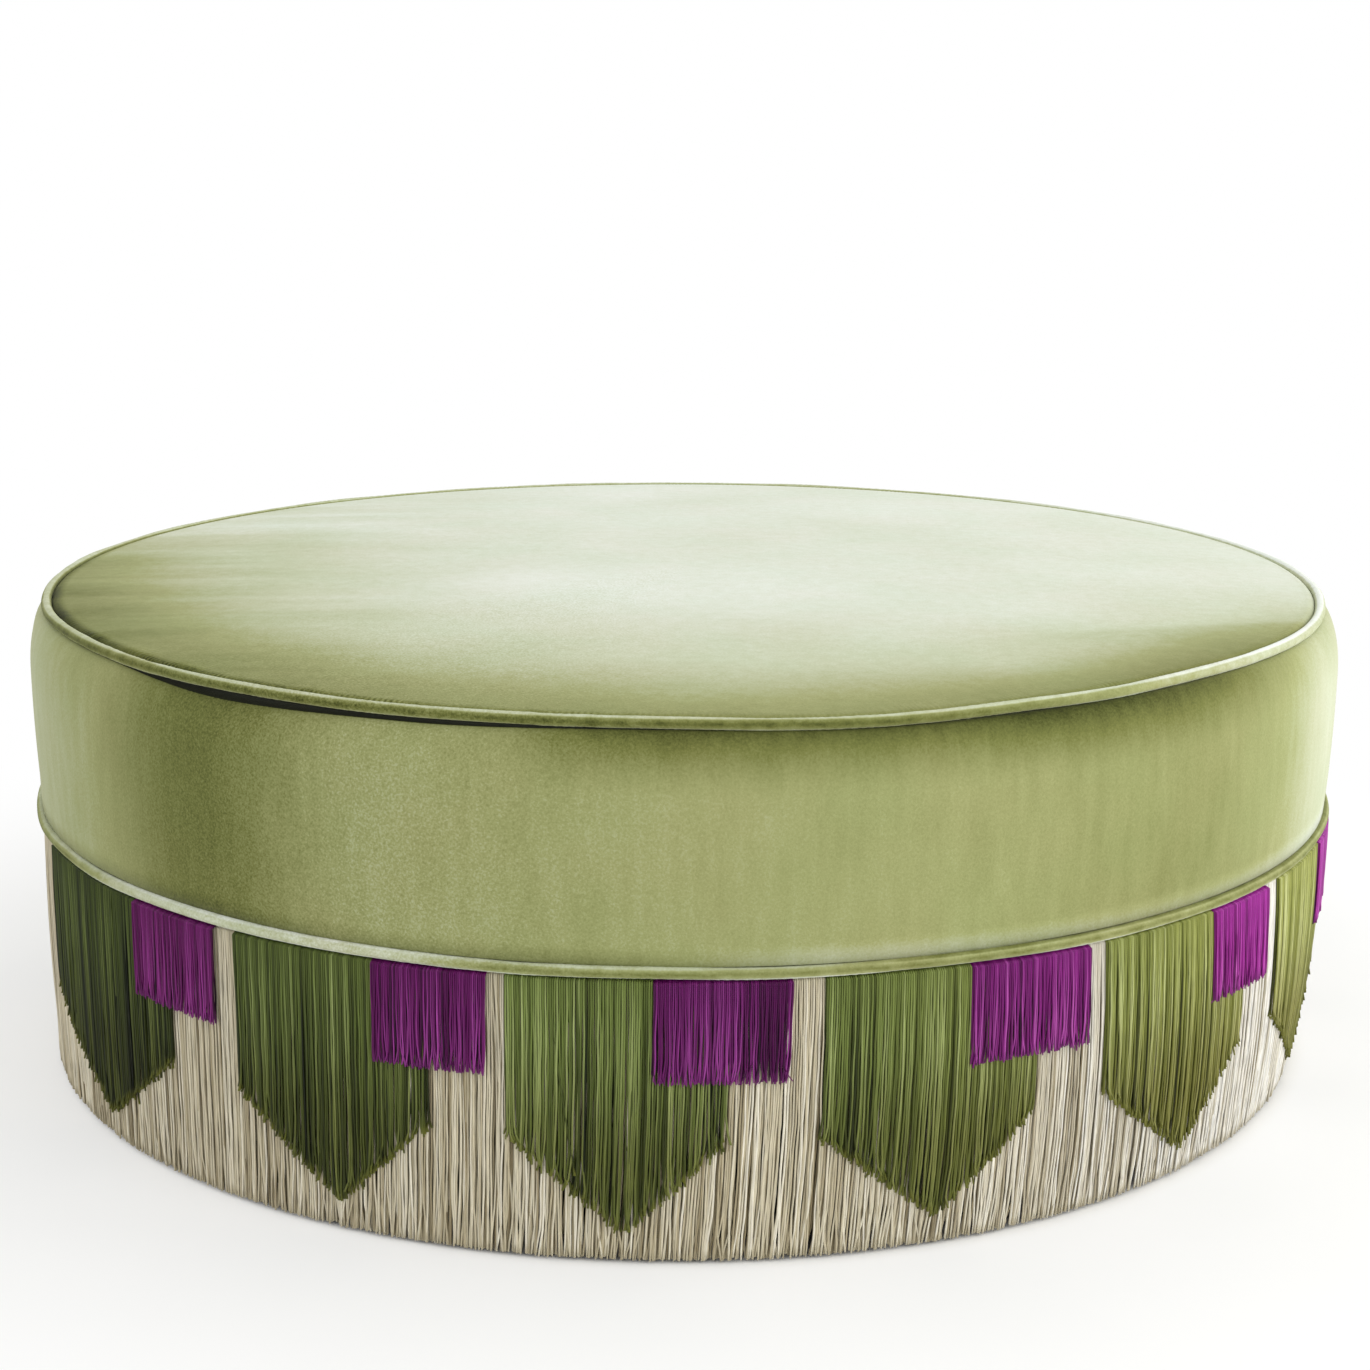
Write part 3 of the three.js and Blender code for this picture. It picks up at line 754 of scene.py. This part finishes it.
inner_rings = np.array([0.03, 0.15, 0.27, 0.39, 0.47, seam_inside])
face_rings = np.concatenate([np.linspace(0.03, 0.47, 9), np.linspace(0.49, 0.5225, 6)])
crown_edge = crown(cover_edge - edge_wide)
top_outline = [
    (0, seat_height - velvet_thickness),
    *[(r, crown(r) - velvet_thickness) for r in inner_rings],
    (seam_inside, cover_foot),
    (cover_edge, cover_foot),
    *arc(cover_edge - edge_wide, crown_edge - edge_tall, edge_wide, edge_tall, 0, 1, 6),
    *[(r, crown(r)) for r in face_rings[::-1]],
    (0, seat_height),
]
top_panel = turn("velvet_top", top_outline, 3072, stitched)
set_piece(top_panel, velvet("top_velvet", top_brushing_and_painted_light, 0.1), "top_cover")


# Welts: bias-cut velvet sewn round a 6 mm cord, with a flange between the covers at the top and
# behind the band at the hem. The bias strip twists a little on the cord, so the rounds waver and
# pucker slightly.
def rims(finish, up, centre_height):
    """How near the cord's upper rim, its face and its lower rim a place is: the masks of the painted
    highlights on the rims and the painted shade on the face.
    """
    upper = soft(finish, up, centre_height + 2.6 * MM, centre_height + 3.8 * MM)
    face = patch(finish, up, centre_height + 0.2 * MM, 3.8 * MM)
    lower = soft(finish, up, centre_height - 2.4 * MM, centre_height - 3.6 * MM)
    return upper, face, lower


def top_welt_mottle_and_painted_light(finish):
    """Painted highlights on its rims and painted shade on its face, all painted paler at the right."""
    angle, _, _, up = angle_of(finish)
    for centre, reach, most in edge_lifts:
        lifted = times(finish, zone(finish, angle, centre, reach), most)
        up = reckon(finish, "SUBTRACT", up, lifted)
    upper, face, lower = rims(finish, up, top_welt_height)
    mottle = around_half(finish, streaks(finish, (90, 90, 160), 3.0, 0.6), 0.3)
    right = turning(finish, angle, 15, 62)
    deep = turning(finish, angle, 10, 45, -0.20, -0.04)
    by_side = total(finish, times(finish, face, deep), times(finish, right, 0.31))
    return total(
        finish,
        0.39,
        times(finish, upper, 0.30),
        times(finish, lower, 0.20),
        times(finish, by_side, seen_share(finish, angle)),
        mottle,
    )


def hem_welt_mottle_and_painted_light(finish):
    """Very pale at the left, then deep patches of painted shade on its face between painted
    highlights on its upper and lower rim, and at the right only the lower rim's painted highlight."""
    angle, _, _, up = angle_of(finish)
    upper, face, lower = rims(finish, up, hem_welt_height)
    mottle = around_half(finish, streaks(finish, (60, 60, 160), 3.0, 0.6), 0.35)
    left = turning(finish, angle, -12, -22)
    left = reckon(finish, "SUBTRACT", left, turning(finish, angle, -44, -60))
    right = turning(finish, angle, 8, 18)
    by_side = total(
        finish,
        times(finish, left, 0.16),
        times(finish, upper, spread(finish, right, 0.0, 1.0, 0.14, -0.26)),
        times(finish, face, spread(finish, left, 0.0, 1.0, -0.24, 0.0)),
    )
    return total(
        finish,
        0.56,
        times(finish, lower, 0.30),
        times(finish, by_side, seen_share(finish, angle)),
        mottle,
    )


welt_rise, welt_ripple, welt_stray = 0.28 * MM, 0.06 * MM, 0.25 * MM
bias_twists_round = 520


def corded(centre_radius, centre_height, luck, size, follow=0.0):
    """Lets the round part of a welt waver on its seam, and pucker by size as bias velvet does.
    follow is how far it follows the seat's top edge."""

    def ease(angle, radius, height):
        away = np.hypot(radius - centre_radius, height - centre_height)
        round_part = rise(away, welt_size * 1.15, welt_size * 1.02)
        lift = waver(angle, 3, 26, luck) * welt_rise + waver(angle, 40, 110, luck + 1) * welt_ripple
        out = waver(angle, 3, 26, luck + 2) * welt_stray
        turned = np.arctan2(height - centre_height, radius - centre_radius)
        slip = 2.5 * waver(angle, 30, 80, luck + 3) + 1.3 * turned
        twist = np.sin(angle * bias_twists_round + slip)
        swell = 1 + size * twist * (0.5 + 0.5 * np.clip(waver(angle, 5, 50, luck + 4), 0, 1.5))
        radius = radius + round_part * (out + (radius - centre_radius) * (swell - 1))
        height = height + round_part * (lift + (height - centre_height) * (swell - 1))
        return radius, height + follow * edge_lift(angle)

    return ease


flange_thickness = 1.2 * MM
flange_foot = 380.8 * MM
top_round = arc(top_welt_radius, top_welt_height, welt_size, welt_size, -1, 2.5, 24)
top_flange = [(seam_inside, flange_foot + flange_thickness), (seam_inside, flange_foot)]
top_ease = corded(top_welt_radius, top_welt_height, 31, 0.022, follow=1.0)
top_welt = turn("top_welt", top_round + top_flange, velvet_steps, top_ease)
set_piece(top_welt, velvet("top_welt_velvet", top_welt_mottle_and_painted_light, 0.15), "top_piping")

flange_inside = hem_welt_radius - welt_size
hem_round = arc(hem_welt_radius, hem_welt_height, welt_size, welt_size, 2, 5.5, 24)
hem_flange = [(flange_inside + flange_thickness, flange_top), (flange_inside, flange_top)]
hem_ease = corded(hem_welt_radius, hem_welt_height, 41, 0.018)
hem_welt = turn("hem_welt", hem_round + hem_flange, velvet_steps, hem_ease)
set_piece(hem_welt, velvet("hem_welt_velvet", hem_welt_mottle_and_painted_light, 0.15), "lower_piping")


# Cream fringe: rayon bullion cut to the floor, its strands looped into a woven heading that is
# stapled to the middle ring behind the hem welt. Three rows of two-ply strands hang close together,
# gather into loose locks, and cross here and there.
heading_height = 8 * MM
heading_thickness = 1 * MM
heading_top = 219.5 * MM
heading_foot = heading_top - heading_height
skirt_top = 216 * MM
skirt_drop = 209.5 * MM
skirt_lean = 10.5 * MM
skirt_swing = 7 * MM
back_drift = 36 * MM
strand_radius = 0.77 * MM
strand_pitch = 1.64 * MM
strand_sides = 6
leave_heights = np.array([216, 211.2, 210.0, 208.6]) * MM
leave_shares = np.array([0, 0.10, 0.68, 1.0])
# The front row of strands is painted lighter and the back row painted in shade.
free_behind, painted_light_in_front, painted_shade_behind = 0.35, 0.09, -0.22
strands_in_lock = 12
lock_pull, lock_bow, lock_tone = 0.16, 0.9 * MM, 0.07
strand_wave, strand_slant, strand_tone = 0.42 * MM, 1.0 * MM, 0.25
stray_swerve, stray_lift = 9 * MM, 1.5 * MM
row_depth = 0.28 * MM
end_splay, end_depth = 1.3 * MM, 0.5 * MM
hooked_share, hook_reach = 0.3, 2.2 * MM
knot_height, knot_curl = 6 * MM, 1.9 * MM
end_height = 7 * MM


def hang(name, angle, reach, foot, luck, leave, segments, loose, strays, sealed=False, size=1.0):
    """Strands hung from a heading, each at its angle, with its radius below the welt and the height
    of its cut end. leave is their radius at the heading, loose scales how far they wander, strays is
    the share that hangs askew, and sealed ends curl. At the seat's right they drift to the back."""
    draw = np.random.default_rng(luck)
    count = len(angle)
    each = (count, 1)
    angle, reach, foot = (v[:, None] for v in (angle, reach, foot))
    spaced = 1 - (1 - np.linspace(0, 1, segments + 1)[None, 1:]) ** 1.3
    low = leave_heights[-1] + (foot - leave_heights[-1]) * spaced
    height = np.concatenate([np.repeat(leave_heights[None], count, 0), low], 1)
    out = np.concatenate([leave_shares, np.ones(segments)])[None]
    down = np.clip((heading_foot - height) / skirt_drop, 0, 1)
    along = (skirt_top - height) / (skirt_top - foot)
    radius = leave + (reach - leave) * out - skirt_lean * down**2

    in_front = reach > reach.mean()
    free = np.where(in_front, 1.0, free_behind) * loose
    locks = np.sort(draw.uniform(angle.min(), angle.max(), count // strands_in_lock))
    which = np.clip(np.searchsorted(locks, angle[:, 0]), 1, len(locks) - 1)
    centre = (locks[which] + locks[which - 1]) / 2
    pull = draw.uniform(0.0, lock_pull, len(locks))[which][:, None]
    side = (centre[:, None] - angle) * reach * pull * rise(down, 0.03, 0.75) * free
    side += draw.uniform(-1, 1, len(locks))[which][:, None] * lock_bow * free * down
    side += back_drift * rise(angle, 0.09, 1.31) * (1 - rise(angle, 1.4, 3.0)) * down
    swing = draw.uniform(0, math.tau, each)
    rate = draw.uniform(1.6, 4.8, each)
    side += strand_wave * loose * np.sin(swing + rate * math.tau * down) * rise(down, 0, 0.15)
    side += draw.normal(0, strand_slant, each) * loose * down
    stray = draw.uniform(size=each) < strays
    swerve = draw.normal(0, stray_swerve, each)
    side += stray * swerve * down * (0.6 + 0.4 * np.sin(3 * down + swing))
    splay = rise(along, 0.8, 1.0)
    side += draw.normal(0, end_splay, each) * splay * loose
    hook = (draw.uniform(size=each) < hooked_share) * draw.normal(0, hook_reach, each)
    side += hook * rise(along, 0.88, 1.0) ** 2 * loose
    radius += draw.normal(0, row_depth, each) * rise(down, 0.02, 0.2)
    radius += stray * stray_lift * np.sin(math.pi * np.clip(down * 1.1, 0, 1))
    radius += draw.normal(0, end_depth, each) * splay * loose
    thick = strand_radius * size * draw.uniform(0.82, 1.1, each) * np.ones_like(height)
    if sealed:
        curl = draw.uniform(0, math.tau, each)
        knot = rise(height, foot + knot_height, foot)
        side += knot_curl * np.cos(curl) * knot
        radius += (0.6 + 0.9 * np.sin(curl)) * MM * knot
        thick *= 1 + 0.7 * knot * draw.uniform(0, 1, each)
    thick[:, -1] *= 0.86

    at = angle + side / reach
    level = np.zeros_like(at)
    out_way = np.stack([np.sin(at), -np.cos(at), level], -1)[:, :, None]
    side_way = np.stack([np.cos(at), np.sin(at), level], -1)[:, :, None]
    centre_line = out_way[:, :, 0] * radius[..., None]
    centre_line[..., 0] -= skirt_swing * down**2
    from_axis = np.hypot(centre_line[..., 0], centre_line[..., 1])
    closest = cloth_outside + 1.3 * strand_radius
    centre_line *= np.maximum(1.0, closest / from_axis)[..., None]
    centre_line[..., 2] = height
    ring = np.arange(strand_sides) / strand_sides * math.tau
    spoke = np.cos(ring)[:, None] * out_way + np.sin(ring)[:, None] * side_way
    points = centre_line[:, :, None] + thick[..., None, None] * spoke
    index = np.arange(points.size // 3).reshape(points.shape[:3])
    beside = np.roll(index, -1, 2)
    walls = np.stack([index[:, :-1], index[:, 1:], beside[:, 1:], beside[:, :-1]], -1)
    faces = [walls.reshape(-1, 4), index[:, 0], index[:, -1, ::-1]]
    piece = mesh_of(name, points.reshape(-1, 3), faces)

    tone_of_lock = draw.normal(0, lock_tone, len(locks))[which][:, None]
    # Painted light on the front row and painted shade on the back row, added to each strand's tone.
    painted_row_light_and_shade = np.where(in_front, painted_light_in_front, painted_shade_behind)
    apart = draw.normal(0, strand_tone, each) + tone_of_lock + painted_row_light_and_shade
    tone = 0.5 + apart * (0.45 + 0.55 * rise(down, 0.0, 0.3))
    # Share of the end tone in a strand's last few mm: painted shade over the floor on the cream.
    end = rise(height, foot + end_height, foot) * draw.uniform(0.2, 1, each)
    told = {
        "tone": tone[..., None],
        "along": (skirt_top - height)[..., None],
        "end": end[..., None],
        "round_out": np.cos(ring),
        "round_side": np.sin(ring),
    }
    for word, numbers in told.items():
        layer = piece.data.attributes.new(word, "FLOAT", "POINT")
        every = np.broadcast_to(numbers, index.shape).astype(np.float32)
        layer.data.foreach_set("value", every.ravel())
    return piece


def told_by(finish, word):
    """A number that the strands carry: their tone, or the place on the strand."""
    return step(finish, "Attribute", output="Fac", attribute_name=word)


ply_twist = 2.8 * MM
tone_stops = (0.0, 0.3, 0.6, 1.0)


def yarn(name, left, front, right, low, end_tone_and_foot_shade, rough, sheen, gloss):
    """Two-ply rayon: each strand in its own tone, in painted shade towards the seat's left and painted
    light towards its right, deepening by low on its way down, with the twist as fine slanting ridges."""
    finish = new_finish(
        name,
        Specular_IOR_Level=gloss,
        Sheen_Weight=sheen,
        Sheen_Roughness=0.4,
        Sheen_Tint=paint(front[-1]),
    )
    angle = angle_of(finish)[0]
    tone = told_by(finish, "tone")
    colour = ramp(finish, tone, list(zip(tone_stops, front)))
    # Painted shade deepens the strands round the seat's left, and painted light pales them at its right.
    for centre, reach, tones in ((-72, 68, left), (57, 52, right)):
        there = ramp(finish, tone, list(zip(tone_stops, tones)))
        colour = blended(finish, zone(finish, angle, centre, reach), colour, there)
    faded = streaks(finish, (500, 500, 40), 3.0, 0.6)
    wear = ramp(finish, faded, [(0.3, "a4a4a4"), (0.7, "ffffff")])
    colour = blended(finish, 0.5, colour, wear, "MULTIPLY")
    along = told_by(finish, "along")
    colour = blended(finish, soft(finish, along, 0.03, 0.15), colour, paint(low), "MULTIPLY")
    # Last few mm of each strand: painted shade over the floor on the cream, the knots' colour on the
    # green.
    colour = blended(finish, told_by(finish, "end"), colour, paint(end_tone_and_foot_shade))
    twist = times(finish, along, math.tau / ply_twist)
    lift = times(finish, told_by(finish, "round_out"), reckon(finish, "SINE", twist))
    slip = times(finish, told_by(finish, "round_side"), reckon(finish, "COSINE", twist))
    ridges = reckon(finish, "ABSOLUTE", total(finish, lift, slip))
    roughness = spread(finish, faded, 0.3, 0.7, rough - 0.08, rough + 0.1)
    return complete(finish, colour, roughness, ridges, 0.22 * MM)


seen_pitch = math.radians(22.9)
hidden_pitch = math.radians(22.0)
first_panel = math.radians(-35.6)
join_panel = math.radians(-65.8)
front_panels, back_panels = 5, 9
panel_starts = [first_panel + seen_pitch * k for k in range(front_panels)]
panel_starts += [panel_starts[-1] + hidden_pitch * (k + 1) for k in range(back_panels)]
panel_starts.append(join_panel + math.tau)
panel_ends = panel_starts[1:] + [first_panel + math.tau]


def rows(start, width, radii, pitch):
    """Angles and radii of staggered rows of strands across a width."""
    angles, reaches = [], []
    for row, radius in enumerate(radii):
        count = int(round(width * radius / pitch))
        share = (np.arange(count) + 0.25 + 0.5 * (row % 2)) / count
        angles.append(start + width * share)
        reaches.append(np.full(count, radius))
    angles, reaches = np.concatenate(angles), np.concatenate(reaches)
    order = np.argsort(angles)
    return angles[order], reaches[order]


def fringe(colour, part, finish, cut, inside, starts, widths, radii, luck, pitch=1.0, **hanging):
    """One layer of the skirt: its woven heading, and each panel's rows of strands on it. cut gives
    the heights of their feet from a draw of luck and their places across the panel, from 0 to 1."""

    def dressed(piece):
        set_piece(piece, finish, f"{colour}_fringe")

    outside = inside + heading_thickness
    tape_foot = [(inside, heading_foot), (outside, heading_foot)]
    tape_top = [(outside, heading_top), (inside, heading_top)]
    dressed(turn(f"{colour}_heading", tape_foot + tape_top, cloth_steps))
    for number, (start, width) in enumerate(zip(starts, widths)):
        angles, reaches = rows(start, width, radii, strand_pitch * pitch)
        feet = cut(np.random.default_rng(luck + number), (angles - start) / width)
        name = f"{colour}_{part}_{number + 1:02d}"
        dressed(hang(name, angles, reaches, feet, luck + 100 + number, **hanging))


floor_gap, cream_ragged = 2 * MM, 1.3 * MM


def cut_at_floor(draw, across):
    """Just clear of the floor, some a little higher."""
    return floor_gap + np.abs(draw.normal(0, cream_ragged, len(across)))


cream_yarn = yarn(
    "cream_rayon",
    left=("796c50", "bbae90", "dbd0b3", "f3ebd4"),
    front=("8f8161", "c1b595", "ded5b9", "f5efdc"),
    right=("a1977f", "d9d2bf", "f2eee3", "fbfaf5"),
    low="ffffff",
    # painted shade at the strands' feet over the floor
    end_tone_and_foot_shade="c6ba9a",
    rough=0.5,
    sheen=0.2,
    gloss=0.3,
)
cream_widths = np.subtract(panel_ends, panel_starts)
fringe(
    "cream", "strands", cream_yarn, cut_at_floor, inside=536.4 * MM, leave=536.9 * MM,
    starts=panel_starts, widths=cream_widths, radii=(541.0 * MM, 542.5 * MM, 544.0 * MM),
    luck=500, segments=12, loose=1.0, strays=0.045,
)


# Green fringe: the same rayon on its own heading, in fifteen panels with straight sides, a wide one
# over the join, each cut to a point near its middle. The cut ends are sealed, so they curl into
# small dark knots.
green_yarn = yarn(
    "green_rayon",
    left=("0d1402", "1f280a", "364210", "5f6d2e"),
    front=("1b2506", "4c5824", "758542", "a8b674"),
    right=("3a3f09", "7b8235", "a2a657", "cfd392"),
    low="c4bda4",
    end_tone_and_foot_shade="6f7029",
    rough=0.5,
    sheen=0.05,
    gloss=0.2,
)
green_widths = np.radians([17.1, 16.1, *[16.6] * 12, 22.8])
point_share = 0.56
side_drop, point_drop, green_ragged = 118 * MM, 187 * MM, 1.2 * MM


def cut_to_point(draw, across):
    """Longest at the point, shorter in a straight line to both sides of the panel."""
    side = np.where(across < point_share, point_share, 1 - point_share)
    drop = point_drop + (side_drop - point_drop) * (np.abs(across - point_share) / side)
    return heading_foot - drop + draw.normal(0, green_ragged, len(across))


fringe(
    "green", "panel", green_yarn, cut_to_point, inside=537.9 * MM, leave=538.6 * MM,
    starts=panel_starts, widths=green_widths, radii=(545.6 * MM, 547.2 * MM),
    luck=700, segments=11, loose=0.75, strays=0.02, sealed=True,
)


# Purple fringe: fifteen short panels of the same rayon, cut straight across, over the right-hand
# part of the green ones. Being short, its strands are livelier, and its cut edge is a little ragged.
purple_yarn = yarn(
    "purple_rayon",
    left=("1e0019", "4a033f", "701262", "a23c96"),
    front=("1a0016", "44033c", "66105d", "a2449a"),
    right=("40033a", "851679", "b032a4", "e474d5"),
    low="ffffff",
    end_tone_and_foot_shade="7a2c74",
    rough=0.42,
    sheen=0.03,
    gloss=0.2,
)
purple_places = np.radians([12.7, 10.7, 11.0, 11.9, 11.7, *[11.6] * 9, 18.3])
purple_widths = np.radians([8.9, 9.8, 10.1, 8.4, *[9.3] * 10, 10.0])
purple_drop, purple_ragged = 73.5 * MM, 0.9 * MM


def cut_straight(draw, across):
    """All at one height, a little ragged."""
    return heading_foot - purple_drop + draw.normal(0, purple_ragged, len(across))


fringe(
    "purple", "panel", purple_yarn, cut_straight, inside=539.4 * MM, leave=539.8 * MM,
    starts=panel_starts + purple_places, widths=purple_widths, radii=(548.2 * MM, 549.6 * MM),
    luck=900, pitch=0.84, segments=9, loose=1.0, strays=0.03, size=0.86,
)


# Floor and studio light: a pale floor that runs out to white, an even room light, and two broad soft
# lamps at the right and at the front right.
ground = new_finish("studio_floor", Roughness=0.9, Specular_IOR_Level=0.1)
floor_mottle = cloud(ground, place(ground), 3.0, 3.0, 0.5)
complete(ground, ramp(ground, floor_mottle, [(0.3, "f2f2f0"), (0.7, "f6f6f4")]))
distance = from_axis_of(ground)
under_seat = soft(ground, distance, 0.528, 0.545, 0.0, 0.45)
beyond = soft(ground, distance, 0.62, 1.15, 0.0, 0.55)
camera_ray = step(ground, "LightPath", output="Is Camera Ray")
glossy_ray = step(ground, "LightPath", output="Is Glossy Ray")
clear_ray = step(ground, "LightPath", output="Is Transmission Ray")
mirrored = reckon(ground, "MAXIMUM", glossy_ray, clear_ray)
shown_ray = reckon(ground, "MAXIMUM", camera_ray, mirrored)
fade_share = times(ground, total(ground, under_seat, beyond), shown_ray)
floor_nodes = ground.node_tree.nodes
lit, white = floor_nodes["Principled BSDF"].outputs[0], step(ground, "Emission")
fade = step(ground, "MixShader", {0: fade_share, 1: lit, 2: white})
ground.node_tree.links.new(fade, floor_nodes["Material Output"].inputs["Surface"])
floor_reach = 60.0
corners = [(x * floor_reach, y * floor_reach, 0) for x, y in ((-1, -1), (1, -1), (1, 1), (-1, 1))]
floor = mesh_of("floor", corners, [[[0, 1, 2, 3]]], smooth=False)
floor.data.materials.append(ground)

room = bpy.data.worlds.new("room")
bpy.context.scene.world = room
room.use_nodes = True
room_light = room.node_tree.nodes["Background"]
room_light.inputs["Color"].default_value = paint("ffffff")
room_light.inputs["Strength"].default_value = 1.0

lamp_size, lamp_power = 2.0, 36.0


def soft_lamp(name, at, towards):
    """A broad square lamp facing a point."""
    lamp = bpy.data.lights.new(name, "AREA")
    lamp.shape = "SQUARE"
    lamp.size = lamp_size
    lamp.energy = lamp_power
    stand = bpy.data.objects.new(name, lamp)
    way = np.array(towards) - np.array(at)
    turn_down = math.acos(-way[2] / np.linalg.norm(way))
    turn_round = math.atan2(way[1], way[0]) - math.pi / 2
    stand.matrix_world = (
        Matrix.Translation(at) @ Matrix.Rotation(turn_round, 4, "Z") @ Matrix.Rotation(turn_down, 4, "X")
    )
    bpy.context.scene.collection.objects.link(stand)


soft_lamp("front_right_lamp", (2.6, -2.6, 1.6), (0.0, 0.0, 0.2))
soft_lamp("right_lamp", (3.2, -0.2, 1.2), (0.0, 0.0, 0.25))
